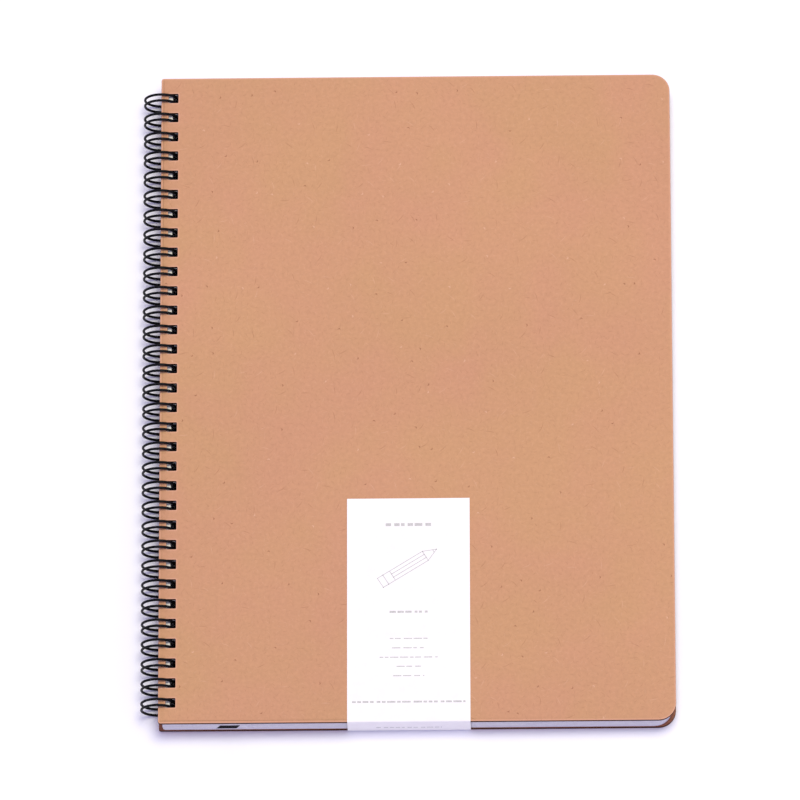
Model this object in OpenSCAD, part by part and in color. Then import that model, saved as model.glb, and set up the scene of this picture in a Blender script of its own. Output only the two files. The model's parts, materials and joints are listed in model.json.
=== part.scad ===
// Wire-bound sketchbook, lying closed with its front cover up.
// X runs from the spine to the fore-edge, Y from the foot to the head, Z up.
// The origin is on the resting plane, under the middle of the outline.

/* [Covers] */
// Width of a cover, from its spine edge to its fore-edge
cover_w = 210; // [120:1:300]
// Height of a cover, from its foot to its head
cover_h = 280; // [150:1:420]
// Thickness of a cover board
board_t = 1.5; // [0.8:0.1:2.5]
// Radius of the two corners at the fore-edge
fore_corner_r = 7.2; // [2:0.1:15]
// Radius of the two corners at the spine
spine_corner_r = 1; // [0.5:0.1:2]

/* [Leaves] */
// Thickness of one leaf
leaf_t = 0.09; // [0.075:0.005:0.2]
// Air between two leaves of the closed book
leaf_gap = 0.01; // [0.01:0.005:0.03]
// Groups of five leaves in front of the ribbon marker
front_groups = 6; // [1:1:8]
// Groups of five leaves behind the ribbon marker
rear_groups = 10; // [1:1:12]
// How far the leaves stop short of the covers at the spine
spine_recess = 1.6; // [0:0.1:1.6]
// How far the leaves stop short of the covers at the fore-edge
fore_recess = 1.6; // [0:0.1:4]
// How far the leaves stop short of the covers at the head and at the foot
end_recess = 0.5; // [0.3:0.1:4]

/* [Binding] */
// Distance between neighbouring loops, three to the inch
pitch = 8.4667; // [7.5:0.0001:12.7]
// Side of a square punched hole
hole = 4; // [3.8:0.1:5]
// Width of board or paper left between a hole and the spine edge
web = 3; // [2.5:0.1:4]
// Diameter of the wire with its coating
wire_d = 1.05; // [0.7:0.05:1.1]
// Distance between the middles of a loop's two legs
leg_gap = 2.6; // [2:0.1:2.8]

/* [Ribbon marker] */
// Width of the ribbon
ribbon_w = 8; // [3:0.5:12]
// Thickness of the ribbon
ribbon_t = 0.14; // [0.1:0.01:0.2]
// Distance from the covers' spine edge to the ribbon
ribbon_x = 25; // [15:1:100]
// Length of the tail that hangs over the foot of the leaves
tail_h = 3.6; // [1:0.1:4.2]
// How far the end of the tail leans towards the spine
tail_lean = 1.4; // [0:0.1:3]

/* [Paper band] */
// Width of the band
band_w = 50; // [20:1:100]
// Thickness of the band's paper
band_t = 0.15; // [0.1:0.01:0.3]
// Length of the band on the front cover, and on the back cover
band_reach = 95.5; // [40:0.5:140]
// Distance from the covers' spine edge to the band
band_x = 76.7; // [15:0.1:90]

/* [Hidden] */
leaves_per_group = 5;
groups = front_groups + rear_groups;
leaf_step = leaf_t + leaf_gap;
front_leaves_t = front_groups * leaves_per_group * leaf_step;
ribbon_gap = ribbon_t + 0.06; // the ribbon has a hair of room above and below
band_play = 0.03; // the band wraps the covers this closely
ring_play = 0.1; // from the covers' webs to the inside of the wire
end_margin = 8; // the least distance from the last hole's middle to the head

leaves_t = groups * leaves_per_group * leaf_step + ribbon_gap;
book_t = leaves_t + 2 * board_t;
ring_r = norm([web, book_t / 2]) + ring_play + wire_d / 2;
loops = floor((cover_h - 2 * end_margin) / pitch) + 1;

// The hinge axis runs through the middle of the wire rings, halfway up the spine edge.
hinge_z = ring_r + wire_d / 2;
spine_x = (hinge_z - cover_w) / 2;
book_top = hinge_z + book_t / 2;
book_bottom = hinge_z - book_t / 2;
leaf_w = cover_w - spine_recess - fore_recess;
leaf_h = cover_h - 2 * end_recess;
ribbon_bottom = book_top - board_t - front_leaves_t - (ribbon_gap + ribbon_t) / 2;

// Angles round a ring, from +X towards +Z. The loops' bends meet under the back cover.
base_angle = -87;
tip_angle = -56;
base_bend_r = (pitch - leg_gap) / 2;
tip_bend_r = leg_gap / 2;
// Each bend is a hair thinner than the legs and runs a little way into their ends.
bend_wire_d = wire_d - 0.02;
bend_overlap = 0.1;

kraft = [0.80, 0.60, 0.46];
paper_white = [0.95, 0.94, 0.96];
black = [0.05, 0.05, 0.06];

function two_digits(n) = n < 10 ? str("0", n) : str(n);
function first_leaf(g) = g * leaves_per_group + 1;
function last_leaf(g) = (g + 1) * leaves_per_group;
function group_name(g) = str("leaves_", two_digits(first_leaf(g)), "_", two_digits(last_leaf(g)));
function loop_y(i) = (i - (loops - 1) / 2) * pitch;
function leaf_bottom(n) =
  book_top - board_t - n * leaf_step + leaf_gap / 2 - (n > last_leaf(front_groups - 1) ? ribbon_gap : 0);

$fn = 48;

// A sheet's outline, its spine edge on Y, with its corners rounded.
module outline(w, h, spine_r, fore_r) {
  difference() {
    translate([0, -h / 2]) square([w, h]);
    for (side = [-1, 1]) {
      corner_waste(0, side * h / 2, 1, -side, spine_r);
      corner_waste(w, side * h / 2, -1, -side, fore_r);
    }
  }
}

// What comes off a square corner at (x, y) that is rounded to radius r.
// inward_x and inward_y, each 1 or -1, point from the corner into the sheet.
module corner_waste(x, y, inward_x, inward_y, r) {
  spill = 1;
  translate([x, y])
    mirror([inward_x < 0 ? 1 : 0, 0])
      mirror([0, inward_y < 0 ? 1 : 0])
        difference() {
          translate([-spill, -spill]) square([r + spill, r + spill]);
          translate([r, r]) circle(r);
        }
}

// The row of square holes, from the sheet's spine edge.
module holes() {
  for (i = [0 : loops - 1])
    translate([web, loop_y(i) - hole / 2]) square([hole, hole]);
}

// A punched sheet or board with its underside at height z.
module punched_sheet(x, z, w, h, t, spine_r, fore_r) {
  translate([x, 0, z])
    linear_extrude(height = t)
      difference() {
        outline(w, h, spine_r, fore_r);
        holes();
      }
}

module front_cover() {
  color(kraft)
    punched_sheet(spine_x, book_top - board_t, cover_w, cover_h, board_t, spine_corner_r, fore_corner_r);
}

module back_cover() {
  color(kraft)
    punched_sheet(spine_x, book_bottom, cover_w, cover_h, board_t, spine_corner_r, fore_corner_r);
}

// Five leaves, counted from the front cover.
module leaf_group(g) {
  color(paper_white)
    for (n = [first_leaf(g) : last_leaf(g)])
      punched_sheet(
        spine_x + spine_recess, leaf_bottom(n), leaf_w, leaf_h, leaf_t, spine_corner_r, fore_corner_r
      );
}

// Part of a round wire ring, flat in XY, from one angle to another.
module wire_arc(r, d, from, to) {
  rotate([0, 0, from])
    rotate_extrude(angle = to - from)
      translate([r, 0]) circle(d / 2);
}

// One leg goes up round the spine, over the covers' edges and down through the holes.
module leg(y) {
  translate([spine_x, y, hinge_z])
    rotate([90, 0, 0])
      wire_arc(ring_r, wire_d, tip_angle, 360 + base_angle);
}

// A half-circle bend at an angle on the ring, which opens towards the legs it joins.
module bend(y, at_angle, r, turn) {
  half_turn = 90 + bend_overlap / r * 180 / PI;
  translate([spine_x, y, hinge_z])
    rotate([0, -at_angle, 0])
      translate([ring_r, 0, 0])
        rotate([0, 90, 0])
          rotate([0, 0, turn])
            wire_arc(r, bend_wire_d, -half_turn, half_turn);
}

module binding_wire() {
  color(black) {
    for (i = [0 : loops - 1]) {
      leg(loop_y(i) - leg_gap / 2);
      leg(loop_y(i) + leg_gap / 2);
      bend(loop_y(i), tip_angle, tip_bend_r, 0);
    }
    for (i = [0 : loops - 2])
      bend(loop_y(i) + pitch / 2, base_angle, base_bend_r, 180);
  }
}

// A flat ribbon between two leaves, whose tail is bent down over their foot edges.
module ribbon_marker() {
  foot_y = -leaf_h / 2 - band_play;
  head_y = loop_y(loops - 1);
  left = spine_x + ribbon_x;
  top = ribbon_bottom + ribbon_t;
  color(black)
    union() {
      translate([left, foot_y - ribbon_t, ribbon_bottom])
        cube([ribbon_w, head_y - foot_y + ribbon_t, ribbon_t]);
      translate([0, foot_y, 0])
        rotate([90, 0, 0])
          linear_extrude(height = ribbon_t)
            polygon([
              [left, top],
              [left + ribbon_w, top],
              [left + ribbon_w - tail_lean, top - tail_h],
              [left - tail_lean, top - tail_h]
            ]);
    }
}

// A strip of paper folded round the foot: one leg on each cover and a wall between them.
module paper_band() {
  outer = band_t + band_play;
  foot_y = -cover_h / 2 - outer;
  color(paper_white)
    translate([spine_x + band_x, foot_y, book_bottom - outer])
      difference() {
        cube([band_w, band_reach + outer, book_t + 2 * outer]);
        translate([-1, band_t, band_t])
          cube([band_w + 2, band_reach + outer, book_t + 2 * band_play]);
      }
}

front_cover();
back_cover();
binding_wire();
ribbon_marker();
paper_band();
for (g = [0 : groups - 1])
  leaf_group(g);
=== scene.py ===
import json
import math
import random
import bpy
import bmesh
from mathutils import Matrix, Vector


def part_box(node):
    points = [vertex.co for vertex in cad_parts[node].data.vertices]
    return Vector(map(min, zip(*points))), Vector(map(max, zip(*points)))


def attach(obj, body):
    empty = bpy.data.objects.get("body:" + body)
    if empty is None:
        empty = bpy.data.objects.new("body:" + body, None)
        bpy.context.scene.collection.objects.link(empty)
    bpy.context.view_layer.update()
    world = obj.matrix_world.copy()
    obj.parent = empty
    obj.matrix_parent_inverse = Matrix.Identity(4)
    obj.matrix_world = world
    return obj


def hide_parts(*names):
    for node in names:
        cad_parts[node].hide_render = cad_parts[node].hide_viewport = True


# wire-bound sketchbook, closed, front cover up
# x from the spine to the fore-edge, y from the foot to the head

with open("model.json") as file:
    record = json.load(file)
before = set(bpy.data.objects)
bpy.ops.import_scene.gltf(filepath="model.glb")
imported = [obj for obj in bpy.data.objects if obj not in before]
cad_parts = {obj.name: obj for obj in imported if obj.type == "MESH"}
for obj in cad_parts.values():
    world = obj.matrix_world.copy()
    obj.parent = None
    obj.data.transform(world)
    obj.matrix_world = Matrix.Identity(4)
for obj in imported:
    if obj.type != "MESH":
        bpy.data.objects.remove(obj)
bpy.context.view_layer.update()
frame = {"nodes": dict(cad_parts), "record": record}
mm = 0.001
random.seed(7)

coverLow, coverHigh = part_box("front_cover")
backLow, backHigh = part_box("back_cover")
wireLow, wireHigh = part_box("binding_wire")
ribbonLow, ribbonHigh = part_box("ribbon_marker")
bandLow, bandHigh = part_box("paper_band")
leafGroups = sorted(n for n in frame["nodes"] if n.startswith("leaves_"))
print("frame loaded,", len(frame["nodes"]), "nodes")

spineX = coverLow[0]
hingeZ = (wireLow[2] + wireHigh[2]) / 2

# what the boards and the leaves share
punch = {
    "loops": 32,
    "pitch": 8.4667 * mm,
    "hole": 4 * mm,
    "web": 3 * mm,        # from the hole to the spine edge
    "holeRound": 0.35 * mm,
    "spineCorner": 1 * mm,
    "foreCorner": 7.2 * mm,
}


cameraSet = {
    "tilt": 19.5,    # degrees off straight down, towards the foot
    "turn": 3.1,     # degrees towards the fore-edge
    "roll": -3.4,
    "distance": 4.5,
    "lens": 494,
    "sensor": 36,
    "farClip": 50,
    "aim": (-3 * mm, 0.7 * mm, 6 * mm),
}


def addCamera(s):
    tilt, turn, roll = (math.radians(s[k]) for k in ("tilt", "turn", "roll"))
    back = Vector((math.sin(turn) * math.sin(tilt),
                   -math.cos(turn) * math.sin(tilt),
                   math.cos(tilt)))
    right = Vector((0, 0, 1)).cross(back).normalized()
    up = back.cross(right)
    rolledRight = right * math.cos(roll) + up * math.sin(roll)
    rolledUp = up * math.cos(roll) - right * math.sin(roll)
    data = bpy.data.cameras.new("camera")
    data.lens = s["lens"]
    data.sensor_width = s["sensor"]
    data.clip_end = s["farClip"]
    camera = bpy.data.objects.new("camera", data)
    bpy.context.scene.collection.objects.link(camera)
    turnIt = Matrix((rolledRight, rolledUp, back)).transposed().to_4x4()
    camera.matrix_world = Matrix.Translation(Vector(s["aim"]) + back * s["distance"]) @ turnIt
    bpy.context.scene.camera = camera


addCamera(cameraSet)
print("camera placed")


def srgb(r, g, b):
    return tuple(((c / 255 + 0.055) / 1.055) ** 2.4 for c in (r, g, b)) + (1,)


def newMaterial(name, roughness, specular=0.3):
    material = bpy.data.materials.new(name)
    material.use_nodes = True
    shader = material.node_tree.nodes["Principled BSDF"]
    shader.inputs["Roughness"].default_value = roughness
    shader.inputs["Specular IOR Level"].default_value = specular
    return material, material.node_tree, shader


def addNode(tree, kind, inputs=None, **settings):
    node = tree.nodes.new(kind)
    for key, value in settings.items():
        setattr(node, key, value)
    for key, value in (inputs or {}).items():
        if isinstance(value, bpy.types.NodeSocket):
            tree.links.new(value, node.inputs[key])
        else:
            node.inputs[key].default_value = value
    return node


def calc(tree, operation, first, second=0.0, third=0.0, clamp=False):
    node = addNode(tree, "ShaderNodeMath", {0: first, 1: second, 2: third}, operation=operation)
    node.use_clamp = clamp
    return node.outputs[0]


def blendColor(tree, factor, first, second, mode="MIX"):
    node = addNode(tree, "ShaderNodeMix", {0: factor, 6: first, 7: second},
                   data_type="RGBA", blend_type=mode)
    return node.outputs[2]


def grain(tree, where, scale, detail=3, rough=0.55):
    settings = {"Vector": where, "Scale": scale, "Detail": detail, "Roughness": rough}
    return addNode(tree, "ShaderNodeTexNoise", settings).outputs["Fac"]


def objectPlace(tree, stretch=(1, 1, 1)):
    place = addNode(tree, "ShaderNodeTexCoord").outputs["Object"]
    if stretch == (1, 1, 1):
        return place
    return addNode(tree, "ShaderNodeMapping", {"Vector": place, "Scale": stretch}).outputs[0]


def remap(tree, value, low, high, newLow=0.0, newHigh=1.0):
    settings = {"Value": value, "From Min": low, "From Max": high,
                "To Min": newLow, "To Max": newHigh}
    return addNode(tree, "ShaderNodeMapRange", settings).outputs[0]


def addBump(tree, shader, height, strength, depth):
    settings = {"Height": height, "Strength": strength, "Distance": depth}
    bump = addNode(tree, "ShaderNodeBump", settings)
    tree.links.new(bump.outputs[0], shader.inputs["Normal"])


# short fibres, one at most in each cell, lying every way round
def fibres(tree, where, scale, halfLength, halfWidth, share):
    cells = addNode(tree, "ShaderNodeTexVoronoi", {"Vector": where, "Scale": scale})
    fromMiddle = addNode(tree, "ShaderNodeVectorMath", {0: where, 1: cells.outputs["Position"]},
                         operation="SUBTRACT").outputs[0]
    chance = addNode(tree, "ShaderNodeSeparateColor", {0: cells.outputs["Color"]})
    angle = calc(tree, "MULTIPLY", chance.outputs[0], math.pi)
    turned = addNode(tree, "ShaderNodeVectorRotate", {"Vector": fromMiddle, "Angle": angle},
                     rotation_type="Z_AXIS").outputs[0]
    axes = addNode(tree, "ShaderNodeSeparateXYZ", {0: turned})
    along = calc(tree, "DIVIDE", axes.outputs[0], halfLength)
    bow = calc(tree, "MULTIPLY", along, along)
    bowed = calc(tree, "MULTIPLY_ADD", bow, halfWidth * 2, axes.outputs[1])
    across = calc(tree, "DIVIDE", bowed, halfWidth)
    farAlong = calc(tree, "MULTIPLY", along, along)
    farAcross = calc(tree, "MULTIPLY", across, across)
    reach = calc(tree, "ADD", farAlong, farAcross)
    body = calc(tree, "SUBTRACT", 1.0, reach, clamp=True)
    present = calc(tree, "LESS_THAN", chance.outputs[1], share)
    return calc(tree, "MULTIPLY", body, present), chance.outputs[2]


kraftLook = {
    "pink": srgb(202, 149, 112),
    "tan": srgb(199, 151, 108),
    "dark": srgb(140, 88, 58),
    "pale": srgb(226, 180, 146),
    "rim": srgb(222, 168, 136),
    "rimFade": 1.6,         # how fast the lighter rim fades inwards; the rim is partly scuffing and partly a painted highlight
    "rimStrength": 0.75,
    "clouds": 26,           # scales of the colour clouds, the light patches and the pulp
    "patches": 12,
    "pulp": 700,
    "tooth": 1400,
    # fine fibres, long ones and specks: scale, half length, half width, share of cells, strength
    "fibres": (
        (420, 1.1 * mm, 0.09 * mm, 0.7, 0.35),
        (120, 2.4 * mm, 0.16 * mm, 0.4, 0.4),
        (70, 0.75 * mm, 0.3 * mm, 0.5, 0.75)),
    "darkShare": 0.55,      # of the fibres
    "fineHeight": 0.6,
    "longHeight": 0.8,
}


# painted shade: the boards' inner faces are the same kraft as the outer ones, painted darker and
# redder for the shade between the boards
insideShadeLook = {
    **kraftLook,
    "pink": srgb(158, 102, 74),
    "tan": srgb(154, 103, 72),
    "rim": srgb(150, 98, 70),
}


def kraftMaterial(name, look):
    material, tree, shader = newMaterial(name, 0.86, 0.2)
    where = objectPlace(tree)
    clouds = remap(tree, grain(tree, where, look["clouds"], 2), 0.35, 0.65)
    base = blendColor(tree, clouds, look["pink"], look["tan"])
    patches = remap(tree, grain(tree, where, look["patches"], 3), 0.3, 0.7, 0.97, 1.02)
    pulp = remap(tree, grain(tree, where, look["pulp"], 4, 0.7), 0.3, 0.7, 0.94, 1.06)
    shade = calc(tree, "MULTIPLY", patches, pulp)
    shadeColor = addNode(tree, "ShaderNodeCombineColor", {0: shade, 1: shade, 2: shade}).outputs[0]
    color = blendColor(tree, 1.0, base, shadeColor, "MULTIPLY")
    layers = [fibres(tree, where, *row[:4]) for row in look["fibres"]]
    for (mask, tone), row in zip(layers, look["fibres"]):
        pale = calc(tree, "GREATER_THAN", tone, look["darkShare"])
        fibreColor = blendColor(tree, pale, look["dark"], look["pale"])
        color = blendColor(tree, calc(tree, "MULTIPLY", mask, row[4]), color, fibreColor)
    # a lighter rim along the board's edges: partly scuffing, partly a painted highlight where the
    # rounded edge would catch the light
    rim = addNode(tree, "ShaderNodeAttribute", attribute_name="rim").outputs["Fac"]
    wornAndLitRim = calc(tree, "POWER", rim, look["rimFade"])
    wornAndLitRim = calc(tree, "MULTIPLY", wornAndLitRim, look["rimStrength"])
    color = blendColor(tree, wornAndLitRim, color, look["rim"])
    tree.links.new(color, shader.inputs["Base Color"])
    height = grain(tree, where, look["tooth"], 5, 0.7)
    for (mask, _), rise in zip(layers, (look["fineHeight"], look["longHeight"])):
        height = calc(tree, "ADD", height, calc(tree, "MULTIPLY", mask, rise))
    addBump(tree, shader, height, 0.35, 0.05 * mm)
    rough = remap(tree, grain(tree, where, 300, 3), 0.3, 0.7, 0.8, 0.92)
    tree.links.new(rough, shader.inputs["Roughness"])
    return material


edgeLook = {
    "dark": srgb(44, 22, 12),
    "mid": srgb(76, 44, 26),
    "stretch": (60, 60, 2600),    # the pulp's layers are thin and wide
}


# the cut side of a board, with its pulp pressed in flat layers; its dark colour is partly the
# board's dark core and partly painted shade for the gap under the edge
def boardEdgeMaterial(look):
    material, tree, shader = newMaterial("boardEdge", 0.9, 0.15)
    layers = grain(tree, objectPlace(tree, look["stretch"]), 1, 4, 0.6)
    color = blendColor(tree, remap(tree, layers, 0.35, 0.65), look["dark"], look["mid"])
    tree.links.new(color, shader.inputs["Base Color"])
    addBump(tree, shader, layers, 0.5, 0.06 * mm)
    return material


# painted light: the leaves' faces and edges are one paper, but the faces are painted darker and
# warmer than the edges to offset the strong light on them
leafFaceLook = {"white": srgb(239, 236, 226), "shade": srgb(231, 227, 216)}
leafEdgeLook = {"white": srgb(248, 247, 252), "shade": srgb(236, 234, 242)}
punchedShadeLook = {"white": srgb(120, 116, 118), "shade": srgb(88, 84, 86)}    # painted shade: the hole walls are darkened for the deep shade inside the stacked holes


def leafMaterial(name, look):
    material, tree, shader = newMaterial(name, 0.9, 0.15)
    where = objectPlace(tree)
    tone = addNode(tree, "ShaderNodeAttribute", attribute_name="leafTone").outputs["Fac"]
    tooth = remap(tree, grain(tree, where, 1200, 4, 0.6), 0.3, 0.7, 0.0, 0.35)
    mixed = calc(tree, "ADD", tone, tooth, clamp=True)
    color = blendColor(tree, mixed, look["white"], look["shade"])
    tree.links.new(color, shader.inputs["Base Color"])
    addBump(tree, shader, grain(tree, where, 1800, 4, 0.6), 0.25, 0.03 * mm)
    return material


bandLook = {"plain": srgb(250, 247, 239), "wisps": srgb(246, 242, 235)}
inkLook = {"full": srgb(184, 182, 174), "thin": srgb(210, 208, 200)}


def bandMaterial(look):
    material, tree, shader = newMaterial("bandPaper", 0.72, 0.3)
    where = objectPlace(tree)
    wisps = remap(tree, grain(tree, where, 220, 4, 0.6), 0.35, 0.7)
    color = blendColor(tree, wisps, look["plain"], look["wisps"])
    tree.links.new(color, shader.inputs["Base Color"])
    addBump(tree, shader, grain(tree, where, 1500, 5, 0.6), 0.2, 0.03 * mm)
    return material


def inkMaterial(look):
    material, tree, shader = newMaterial("greyInk", 0.6, 0.3)
    speckle = remap(tree, grain(tree, objectPlace(tree), 2600, 3), 0.35, 0.65)
    color = blendColor(tree, speckle, look["full"], look["thin"])
    tree.links.new(color, shader.inputs["Base Color"])
    addBump(tree, shader, speckle, 0.2, 0.02 * mm)
    return material


wireLook = {
    "black": (0.0022, 0.0022, 0.0025, 1),
    "grey": (0.0045, 0.0043, 0.0048, 1),
    "coat": 0.03,
    "coatRoughness": 0.3,
}


def wireMaterial(look):
    material, tree, shader = newMaterial("coatedWire", 0.42, 0.1)
    where = objectPlace(tree)
    orangePeel = grain(tree, where, 1600, 3, 0.5)
    rubbed = remap(tree, grain(tree, where, 160, 3), 0.35, 0.7)
    color = blendColor(tree, rubbed, look["black"], look["grey"])
    tree.links.new(color, shader.inputs["Base Color"])
    tree.links.new(remap(tree, orangePeel, 0.3, 0.7, 0.36, 0.5), shader.inputs["Roughness"])
    addBump(tree, shader, orangePeel, 0.15, 0.02 * mm)
    shader.inputs["Coat Weight"].default_value = look["coat"]
    shader.inputs["Coat Roughness"].default_value = look["coatRoughness"]
    return material


ribbonLook = {
    "warp": 0.22 * mm,
    "weft": 0.3 * mm,
    "black": (0.001, 0.001, 0.0013, 1),
    "grey": (0.004, 0.0038, 0.0048, 1),
    "sheen": 0.01,
    "sheenRoughness": 0.4,
}


# woven satin: fine ribs along the ribbon, crossed by finer weft lines
def ribbonMaterial(look):
    material, tree, shader = newMaterial("satinRibbon", 0.55, 0.04)
    where = objectPlace(tree)
    axes = addNode(tree, "ShaderNodeSeparateXYZ", {0: where})
    warp = calc(tree, "SINE", calc(tree, "MULTIPLY", axes.outputs[0], 2 * math.pi / look["warp"]))
    lengthways = calc(tree, "SUBTRACT", axes.outputs[1], axes.outputs[2])
    weft = calc(tree, "SINE", calc(tree, "MULTIPLY", lengthways, 2 * math.pi / look["weft"]))
    crossed = calc(tree, "MULTIPLY", warp, weft)
    ribs = calc(tree, "MULTIPLY", warp, 0.5)
    weave = calc(tree, "MULTIPLY_ADD", crossed, 0.5, ribs)
    color = blendColor(tree, remap(tree, weave, -1, 1), look["black"], look["grey"])
    tree.links.new(color, shader.inputs["Base Color"])
    addBump(tree, shader, weave, 0.5, 0.04 * mm)
    shader.inputs["Sheen Weight"].default_value = look["sheen"]
    shader.inputs["Sheen Roughness"].default_value = look["sheenRoughness"]
    return material


kraft = kraftMaterial("kraftBoard", kraftLook)
kraftInsideShaded = kraftMaterial("kraftInsideShaded", insideShadeLook)
boardEdge = boardEdgeMaterial(edgeLook)
leafFace = leafMaterial("leafFace", leafFaceLook)
leafEdge = leafMaterial("leafEdge", leafEdgeLook)
punchedEdgeShade = leafMaterial("punchedEdgeShade", punchedShadeLook)
bandPaper = bandMaterial(bandLook)
greyInk = inkMaterial(inkLook)
coatedWire = wireMaterial(wireLook)
satinRibbon = ribbonMaterial(ribbonLook)
print("materials made")


def linkMesh(name, mesh, materials, smoothAngle=35):
    for material in materials:
        mesh.materials.append(material)
    mesh.polygons.foreach_set("use_smooth", [True] * len(mesh.polygons))
    mesh.set_sharp_from_angle(angle=math.radians(smoothAngle))
    piece = bpy.data.objects.new(name, mesh)
    bpy.context.scene.collection.objects.link(piece)
    return piece


def arc(x, y, radius, start, steps):
    angles = [math.radians(start + 90 * i / steps) for i in range(steps + 1)]
    return [(x + radius * math.cos(a), y + radius * math.sin(a)) for a in angles]


# a sheet's outline, drawn in by inset; every inset gives the same number of points
def sheetOutline(w, h, inset, spineSteps, foreSteps):
    spineR, foreR = punch["spineCorner"], punch["foreCorner"]
    points = arc(spineR, spineR - h / 2, spineR - inset, 180, spineSteps)
    points += arc(w - foreR, foreR - h / 2, foreR - inset, 270, foreSteps)
    points += arc(w - foreR, h / 2 - foreR, foreR - inset, 0, foreSteps)
    return points + arc(spineR, h / 2 - spineR, spineR - inset, 90, spineSteps)


# one square hole, widened by inset; steps 0 leaves its corners sharp
def holeOutline(y, inset, steps):
    left, right = punch["web"], punch["web"] + punch["hole"]
    low, high = y - punch["hole"] / 2, y + punch["hole"] / 2
    if steps == 0:
        return [(left, high), (right, high), (right, low), (left, low)]
    r = punch["holeRound"]
    square = arc(left + r, low + r, r + inset, 180, steps)
    square += arc(right - r, low + r, r + inset, 270, steps)
    square += arc(right - r, high - r, r + inset, 0, steps)
    square += arc(left + r, high - r, r + inset, 90, steps)
    return square[::-1]


def loopY(i):
    return (i - (punch["loops"] - 1) / 2) * punch["pitch"]


# a punched board or leaf: rings of points from the top face round the edge to the bottom face
# each wall comes back with its outline's number, 0 for the outer one, and its place in the profile
def punchedBody(bm, x, bottom, w, h, profile, steps):
    spineSteps, foreSteps, holeSteps = steps
    loops = [lambda inset: sheetOutline(w, h, inset, spineSteps, foreSteps)]
    for hole in range(punch["loops"]):
        loops.append(lambda inset, y=loopY(hole): holeOutline(y, inset, holeSteps))
    topEdges, bottomEdges, walls = [], [], []
    for number, loop in enumerate(loops):
        rings = []
        for inset, up in profile:
            rings.append([bm.verts.new((x + px, py, bottom + up)) for px, py in loop(inset)])
        count = len(rings[0])
        for level, (upper, lower) in enumerate(zip(rings, rings[1:])):
            for i in range(count):
                j = (i + 1) % count
                wall = bm.faces.new((upper[i], lower[i], lower[j], upper[j]))
                walls.append((number, level, wall))
        for ring, edges in ((rings[0], topEdges), (rings[-1], bottomEdges)):
            edges += [bm.edges.get((ring[i], ring[(i + 1) % count])) for i in range(count)]
    for edges in (topEdges, bottomEdges):
        bmesh.ops.triangle_fill(bm, use_beauty=True, edges=edges)
    return walls


boardSet = {
    "round": 0.16 * mm,     # rounding of the edges
    "roundSteps": 4,
    # distance in from the edge, and how much lighter the face is painted there, partly scuffing
    # and partly a painted highlight
    "rims": ((1.1 * mm, 0), (0.6 * mm, 0.35), (0.3 * mm, 0.85)),
    "steps": (4, 14, 3),    # spine corners, fore-edge corners, holes
    "flat": 0.98,           # a face that points inwards more than this takes the inside kraft, painted darker as shade
    "turned": 0.05,         # and one more than this, the inner rounding, takes the dark edge colour as painted shade
}


# cut edges are rounded over and painted lighter along the rim, partly scuffing and partly a
# painted highlight; the inner face and inner rounding are painted darker as shade
def makeBoard(name, node, body, insideUp, s):
    low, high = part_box(node)
    w, h, t = high[0] - low[0], high[1] - low[1], high[2] - low[2]
    quarter = [math.radians(90 * i / s["roundSteps"]) for i in range(s["roundSteps"] + 1)]
    over = [(s["round"] * (1 - math.sin(a)), s["round"] * (1 - math.cos(a)), 1) for a in quarter]
    upper = [(inset, 0, wornAndLit) for inset, wornAndLit in s["rims"]] + over
    rows = [(inset, t - drop, wornAndLit) for inset, drop, wornAndLit in upper]
    rows += [(inset, drop, wornAndLit) for inset, drop, wornAndLit in upper[::-1]]
    bm = bmesh.new()
    walls = punchedBody(bm, low[0], low[2], w, h, [row[:2] for row in rows], s["steps"])
    bm.verts.index_update()
    # how much lighter each point is painted: scuffing and a painted highlight along the rim
    wearAndHighlight = [0.0] * len(bm.verts)
    cut = len(upper) - 1
    for _, level, face in walls:
        for v in face.verts:
            wearAndHighlight[v.index] = max(wearAndHighlight[v.index], min(rows[level][2], rows[level + 1][2]))
    bmesh.ops.recalc_face_normals(bm, faces=bm.faces)
    # painted shade: faces turned inwards take the darker inside kraft, and the inner rounding
    # takes the dark edge colour
    for face in bm.faces:
        inward = face.normal.z if insideUp else -face.normal.z
        face.material_index = 2 if inward > s["flat"] else 1 if inward > s["turned"] else 0
    # the cut and the outer half of each rounding take the dark edge colour: partly the board's
    # dark core, partly painted shade widening the dark line under the edge
    for _, level, face in walls:
        if cut - s["roundSteps"] / 2 <= level <= cut:
            face.material_index = 1
    mesh = bpy.data.meshes.new(name)
    bm.to_mesh(mesh)
    bm.free()
    mesh.attributes.new("rim", "FLOAT", "POINT").data.foreach_set("value", wearAndHighlight)
    board = linkMesh(name, mesh, [kraft, boardEdge, kraftInsideShaded])
    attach(board, body)
    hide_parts(node)


makeBoard("frontCover", "front_cover", "cover", False, boardSet)
makeBoard("backCover", "back_cover", "back_and_wire", True, boardSet)
print("covers made")


leafSet = {
    "perGroup": 5,
    "gap": 0.01 * mm,
    "slipX": 0.12 * mm,     # how far a leaf lies out of line
    "slipY": 0.14 * mm,
    "darkest": 0.65,        # tone of the darkest leaf
    "steps": (2, 8, 0),
}


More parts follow.
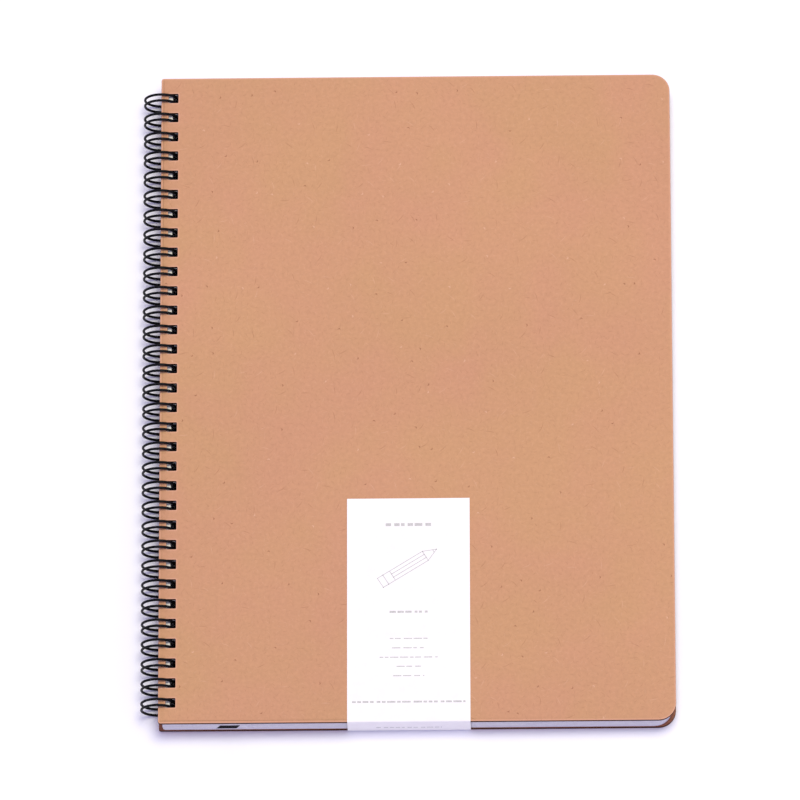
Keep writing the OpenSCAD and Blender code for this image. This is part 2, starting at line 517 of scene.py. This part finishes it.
def makeLeafGroup(node, body, s):
    low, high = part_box(node)
    w, h = high[0] - low[0], high[1] - low[1]
    count = s["perGroup"]
    step = (high[2] - low[2] + s["gap"]) / count
    thick = step - s["gap"]
    bm = bmesh.new()
    tones = []
    for i in range(count):
        first = len(bm.verts)
        slip = Vector((random.uniform(-1, 1) * s["slipX"], random.uniform(-1, 1) * s["slipY"], 0))
        walls = punchedBody(bm, low[0], low[2] + i * step, w, h, [(0, thick), (0, 0)], s["steps"])
        # hole walls take the punched material, darkened as painted shade; the outer walls take the
        # edge white
        for number, _, face in walls:
            face.material_index = 2 if number else 1
        bm.verts.ensure_lookup_table()
        for v in bm.verts[first:]:
            v.co += slip
        tones += [random.uniform(0, s["darkest"])] * (len(bm.verts) - first)
    bmesh.ops.recalc_face_normals(bm, faces=bm.faces)
    mesh = bpy.data.meshes.new(node.replace("leaves", "leafGroup"))
    bm.to_mesh(mesh)
    bm.free()
    mesh.attributes.new("leafTone", "FLOAT", "POINT").data.foreach_set("value", tones)
    group = linkMesh(mesh.name, mesh, [leafFace, leafEdge, punchedEdgeShade], 30)
    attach(group, body)
    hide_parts(node)


bodies = frame["record"]["behaviour"]["bodies"]
for node in leafGroups:
    side = "front_leaves" if node in bodies["front_leaves"] else "rear_leaves"
    makeLeafGroup(node, side, leafSet)
print("leaves made,", len(leafGroups), "groups")


wireSet = {
    "diameter": 1.05 * mm,
    "legGap": 2.6 * mm,
    "baseAngle": -87,      # degrees round the ring, from the fore-edge side upwards
    "tipAngle": -56,
    "legSteps": 56,
    "bendSteps": 12,
    "sides": 14,
}


# the middle line of the one wire: up a leg, round its tip, back down, then across to the next loop
def wirePath(s):
    ringR = (wireHigh[2] - wireLow[2] - s["diameter"]) / 2
    half = s["legGap"] / 2
    baseR = punch["pitch"] / 2 - half
    base, tip = math.radians(360 + s["baseAngle"]), math.radians(s["tipAngle"])
    points = []

    def place(angle, y):
        points.append((spineX + ringR * math.cos(angle), y, hingeZ + ringR * math.sin(angle)))

    for i in range(punch["loops"]):
        y = loopY(i)
        for k in range(s["legSteps"] + 1):
            place(base + (tip - base) * k / s["legSteps"], y - half)
        for k in range(1, s["bendSteps"]):
            a = math.pi * k / s["bendSteps"]
            place(tip - half / ringR * math.sin(a), y - half * math.cos(a))
        for k in range(s["legSteps"] + 1):
            place(tip + (base - tip) * k / s["legSteps"], y + half)
        if i < punch["loops"] - 1:
            for k in range(1, s["bendSteps"]):
                a = math.pi * k / s["bendSteps"]
                middle = y + punch["pitch"] / 2
                place(base + baseR / ringR * math.sin(a), middle - baseR * math.cos(a))
    return points


# a round tube along the path, its rings carried along without twist, with flat cut ends
def makeTube(name, path, radius, sides, material):
    points = [Vector(p) for p in path]
    bm = bmesh.new()
    across = Vector((0, 1, 0))
    before = None
    for i, p in enumerate(points):
        ahead = (points[min(i + 1, len(points) - 1)] - points[max(i - 1, 0)]).normalized()
        across = (across - ahead * across.dot(ahead)).normalized()
        over = ahead.cross(across)
        ring = []
        for k in range(sides):
            a = 2 * math.pi * k / sides
            ring.append(bm.verts.new(p + (across * math.cos(a) + over * math.sin(a)) * radius))
        if before:
            for k in range(sides):
                j = (k + 1) % sides
                bm.faces.new((before[k], before[j], ring[j], ring[k]))
        else:
            bm.faces.new(ring[::-1])
        before = ring
    bm.faces.new(before)
    bmesh.ops.recalc_face_normals(bm, faces=bm.faces)
    mesh = bpy.data.meshes.new(name)
    bm.to_mesh(mesh)
    bm.free()
    return linkMesh(name, mesh, [material], 60)


def makeWire(s):
    wire = makeTube("bindingWire", wirePath(s), s["diameter"] / 2, s["sides"], coatedWire)
    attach(wire, "back_and_wire")
    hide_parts("binding_wire")


makeWire(wireSet)
print("binding wire made")


# a thin strip that follows a line in y and z; each row is (left x, right x, y, z)
def makeStrip(name, rows, thick, columns, material):
    bm = bmesh.new()
    faces = []
    outer, inner = [], []
    for i, (left, right, y, z) in enumerate(rows):
        _, _, y0, z0 = rows[max(i - 1, 0)]
        _, _, y1, z1 = rows[min(i + 1, len(rows) - 1)]
        ahead = Vector((0, y1 - y0, z1 - z0)).normalized()
        normal = Vector((-1, 0, 0)).cross(ahead)
        line = [Vector((left + (right - left) * k / columns, y, z)) for k in range(columns + 1)]
        outer.append([bm.verts.new(p + normal * thick / 2) for p in line])
        inner.append([bm.verts.new(p - normal * thick / 2) for p in line])
    for sheet in (outer, inner):
        for a, b in zip(sheet, sheet[1:]):
            for k in range(columns):
                faces.append(bm.faces.new((a[k], a[k + 1], b[k + 1], b[k])))
    for i in range(len(rows) - 1):
        for k in (0, columns):
            bm.faces.new((outer[i][k], outer[i + 1][k], inner[i + 1][k], inner[i][k]))
    for i in (0, -1):
        for k in range(columns):
            bm.faces.new((outer[i][k], outer[i][k + 1], inner[i][k + 1], inner[i][k]))
    bmesh.ops.recalc_face_normals(bm, faces=bm.faces)
    mesh = bpy.data.meshes.new(name)
    bm.to_mesh(mesh)
    bm.free()
    return linkMesh(name, mesh, [material], 50)


ribbonSet = {
    "thick": 0.14 * mm,
    "width": 8 * mm,
    "lean": 1.4 * mm,      # the tail's lower end lies this much nearer the spine
    "fold": 0.22 * mm,     # radius of the fold over the leaves' foot
    "foldSteps": 6,
    "rowStep": 6 * mm,
    "tailSteps": 6,
    "columns": 10,
}


def makeRibbon(s):
    right = ribbonHigh[0]
    left = right - s["width"]
    middleZ = ribbonHigh[2] - s["thick"] / 2
    footY = ribbonLow[1] + s["thick"] / 2
    headY = ribbonHigh[1]
    rows = []
    flat = int((headY - footY - s["fold"]) / s["rowStep"])
    for i in range(flat + 1):
        rows.append((left, right, headY + (footY + s["fold"] - headY) * i / flat, middleZ))
    for i in range(1, s["foldSteps"] + 1):
        a = math.pi / 2 * i / s["foldSteps"]
        y = footY + s["fold"] * (1 - math.sin(a))
        rows.append((left, right, y, middleZ - s["fold"] * (1 - math.cos(a))))
    top = middleZ - s["fold"]
    end = ribbonLow[2]
    for i in range(1, s["tailSteps"] + 1):
        part = i / s["tailSteps"]
        shift = s["lean"] * part
        rows.append((left - shift, right - shift, footY, top + (end - top) * part))
    ribbon = makeStrip("ribbonMarker", rows, s["thick"], s["columns"], satinRibbon)
    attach(ribbon, "rear_leaves")
    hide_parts("ribbon_marker")


makeRibbon(ribbonSet)
print("ribbon marker made")


bandSet = {
    "thick": 0.15 * mm,
    "fold": 0.45 * mm,      # radius of the folds at the foot
    "foldSteps": 6,
    "rowStep": 3 * mm,
    "wallSteps": 4,
    "columns": 24,
    "lift": 0.18 * mm,      # the free end's corners stand this far off the cover
    "liftMiddle": 0.55,     # shares of the lift: all the way across, and more at the sides
    "liftSides": 0.45,
    "ripple": 0.02 * mm,
    "rippleAlong": 9,
    "rippleAcross": 3,
}


# how far the front leg stands off the cover, from its place along the leg and across it
def bandLift(along, across, s):
    curl = s["lift"] * max(0, along) ** 3
    wave = math.sin(along * s["rippleAlong"] + across * s["rippleAcross"])
    ripple = s["ripple"] * wave * along
    return curl * (s["liftMiddle"] + s["liftSides"] * across ** 2) + abs(ripple)


def makeBand(s):
    half = s["thick"] / 2
    left, right = bandLow[0], bandHigh[0]
    topZ, bottomZ = bandHigh[2] - half, bandLow[2] + half
    footY, endY = bandLow[1] + half, bandHigh[1]
    r = s["fold"]
    count = int((endY - footY - r) / s["rowStep"])
    rows = [(left, right, endY + (footY + r - endY) * i / count, topZ) for i in range(count + 1)]
    for i in range(1, s["foldSteps"] + 1):
        a = math.pi / 2 * i / s["foldSteps"]
        rows.append((left, right, footY + r * (1 - math.sin(a)), topZ - r * (1 - math.cos(a))))
    for i in range(1, s["wallSteps"]):
        rows.append((left, right, footY, topZ - r + (bottomZ - topZ + 2 * r) * i / s["wallSteps"]))
    for i in range(s["foldSteps"] + 1):
        a = math.pi / 2 * i / s["foldSteps"]
        rows.append((left, right, footY + r * (1 - math.cos(a)), bottomZ + r * (1 - math.sin(a))))
    for i in range(1, count + 1):
        rows.append((left, right, footY + r + (endY - footY - r) * i / count, bottomZ))
    band = makeStrip("paperBand", rows, s["thick"], s["columns"], bandPaper)
    middle, halfWide = (left + right) / 2, (right - left) / 2
    underLeg = topZ - half * 1.5    # only the front leg lies above this
    for v in band.data.vertices:
        if v.co.z > underLeg:
            along = (v.co.y - footY) / (endY - footY)
            v.co.z += bandLift(along, (v.co.x - middle) / halfWide, s)
    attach(band, "band")
    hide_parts("paper_band")


makeBand(bandSet)


# plain printed marks, measured from the foot and from the band's middle line, in mm
printSet = {
    "ink": 0.012 * mm,       # half the thickness of the ink
    # rows of bars: up, width, height, longest bar
    "bars": (
        (84.4, 18.5, 1.3, 3.2),
        (47, 15.5, 0.9, 2.6),
        (35.6, 15.4, 0.45, 3.4),
        (31.6, 13.5, 0.45, 3.4),
        (27.6, 23.6, 0.45, 3.4),
        (23.7, 9.9, 0.45, 3.4),
        (19.7, 12.7, 0.45, 3.4),
        (8.6, 46, 0.8, 3.4)),
    "wallBars": (26.6, 0.8, 2.6),    # width, height, longest bar
    "wallUp": 0.38,                  # how far up the foot wall they stand
    "lengths": (0.45, 0.7, 1),       # shares of the longest bar
    "spaces": (0.6, 0.6, 1.2),
    "shortest": 0.3,
    "pencil": {
        "middle": 66.6,
        "length": 27,
        "width": 4.6,
        "tip": 5.4,
        "lead": 1.5,
        "ferrule": 3.2,
        "rubber": 2.6,
        "slant": 32,
    },
    "stroke": 0.3,
}


# even bars in a row of the given width, with a wider space now and then
def barRow(wide, longest, s):
    spans = []
    x = -wide / 2
    while x < wide / 2 - s["shortest"]:
        length = min(random.choice(s["lengths"]) * longest, wide / 2 - x)
        spans.append((x, x + length))
        x += length + random.choice(s["spaces"])
    return spans


# a horizontal pencil's lines about its middle: its outline, facets, ferrule and tip
def pencilLines(p):
    end, half = p["length"] / 2, p["width"] / 2
    cone = end - p["tip"]
    lead = end - p["lead"]
    leadHalf = half * p["lead"] / p["tip"]
    lines = [[(-end, -half), (cone, -half), (end, 0), (cone, half), (-end, half), (-end, -half)]]
    for x in (-end + p["rubber"], -end + p["rubber"] + p["ferrule"], cone):
        lines.append([(x, -half), (x, half)])
    lines.append([(lead, -leadHalf), (lead, leadHalf)])
    for y in (-half / 3, half / 3):
        lines.append([(-end + p["rubber"] + p["ferrule"], y), (cone, y)])
    return lines


def makePrint(s):
    footY, endY = bandLow[1], bandHigh[1]
    middle = (bandLow[0] + bandHigh[0]) / 2
    halfWide = (bandHigh[0] - bandLow[0]) / 2
    bm = bmesh.new()

    # a point of the print, sunk or raised by half the ink's thickness
    def onFace(x, y, raised):
        along = y * mm / (endY - footY)
        z = bandHigh[2] + bandLift(along, x * mm / halfWide, bandSet) + raised * s["ink"]
        return bm.verts.new((middle + x * mm, footY + y * mm, z))

    def onWall(x, z, raised):
        return bm.verts.new((middle + x * mm, footY - raised * s["ink"], z))

    def inkPatch(corners, place):
        low = [place(x, y, -1) for x, y in corners]
        high = [place(x, y, 1) for x, y in corners]
        bm.faces.new(low[::-1])
        bm.faces.new(high)
        for i in range(4):
            j = (i + 1) % 4
            bm.faces.new((low[i], low[j], high[j], high[i]))

    for up, wide, tall, longest in s["bars"]:
        for x0, x1 in barRow(wide, longest, s):
            y0, y1 = up - tall / 2, up + tall / 2
            inkPatch([(x0, y0), (x1, y0), (x1, y1), (x0, y1)], onFace)
    wide, tall, longest = s["wallBars"]
    wallZ = bandLow[2] + (bandHigh[2] - bandLow[2]) * s["wallUp"]
    for x0, x1 in barRow(wide, longest, s):
        z0, z1 = wallZ - tall * mm / 2, wallZ + tall * mm / 2
        inkPatch([(x0, z0), (x1, z0), (x1, z1), (x0, z1)], onWall)
    turn = math.radians(s["pencil"]["slant"])
    up = s["pencil"]["middle"]
    for line in pencilLines(s["pencil"]):
        for (ax, ay), (bx, by) in zip(line, line[1:]):
            ahead = Vector((bx - ax, by - ay)).normalized() * s["stroke"] / 2
            across = Vector((-ahead.y, ahead.x))
            start, end = Vector((ax, ay)) - ahead, Vector((bx, by)) + ahead
            corners = [start - across, end - across, end + across, start + across]
            turned = [(c.x * math.cos(turn) - c.y * math.sin(turn),
                       c.x * math.sin(turn) + c.y * math.cos(turn) + up) for c in corners]
            inkPatch(turned, onFace)
    bmesh.ops.recalc_face_normals(bm, faces=bm.faces)
    mesh = bpy.data.meshes.new("bandPrint")
    bm.to_mesh(mesh)
    bm.free()
    printed = linkMesh("bandPrint", mesh, [greyInk])
    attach(printed, "band")


makePrint(printSet)
print("paper band made")


stageSet = {
    "size": 6,
    "floor": (0.96, 0.96, 0.965, 1),
}


# the floor touches the wire and the back cover's fore-edge, as the real book rests
def addFloor(s):
    slope = math.atan2(backLow[2] - wireLow[2], backHigh[0] - spineX)
    mesh = bpy.data.meshes.new("floor")
    half = s["size"] / 2
    corners = [(-half, -half, 0), (half, -half, 0), (half, half, 0), (-half, half, 0)]
    mesh.from_pydata(corners, [], [(0, 1, 2, 3)])
    material, _, shader = newMaterial("floorPaint", 0.8, 0.1)
    shader.inputs["Base Color"].default_value = s["floor"]
    mesh.materials.append(material)
    floor = bpy.data.objects.new("floor", mesh)
    bpy.context.scene.collection.objects.link(floor)
    place = Matrix.Translation((spineX, 0, wireLow[2]))
    floor.matrix_world = place @ Matrix.Rotation(-slope, 4, "Y")


lightSet = {
    "worldColor": (0.63, 0.605, 1.0, 1),
    "worldStrength": 0.85,
    "keyPlace": (0.3, 0.38, 2.5),
    "keySize": 1.2,
    "keyPower": 43,
    "keyColor": (1.0, 0.97, 0.71),
}


def addLight(s):
    world = bpy.data.worlds.new("studio")
    world.use_nodes = True
    background = world.node_tree.nodes["Background"]
    background.inputs[0].default_value = s["worldColor"]
    background.inputs[1].default_value = s["worldStrength"]
    bpy.context.scene.world = world
    data = bpy.data.lights.new("key", "AREA")
    data.size = s["keySize"]
    data.energy = s["keyPower"]
    data.color = s["keyColor"]
    key = bpy.data.objects.new("key", data)
    bpy.context.scene.collection.objects.link(key)
    key.location = s["keyPlace"]
    key.rotation_euler = Vector(s["keyPlace"]).to_track_quat("Z", "Y").to_euler()


addFloor(stageSet)
addLight(lightSet)
bpy.context.scene.view_settings.view_transform = "Standard"
print("floor and light set")
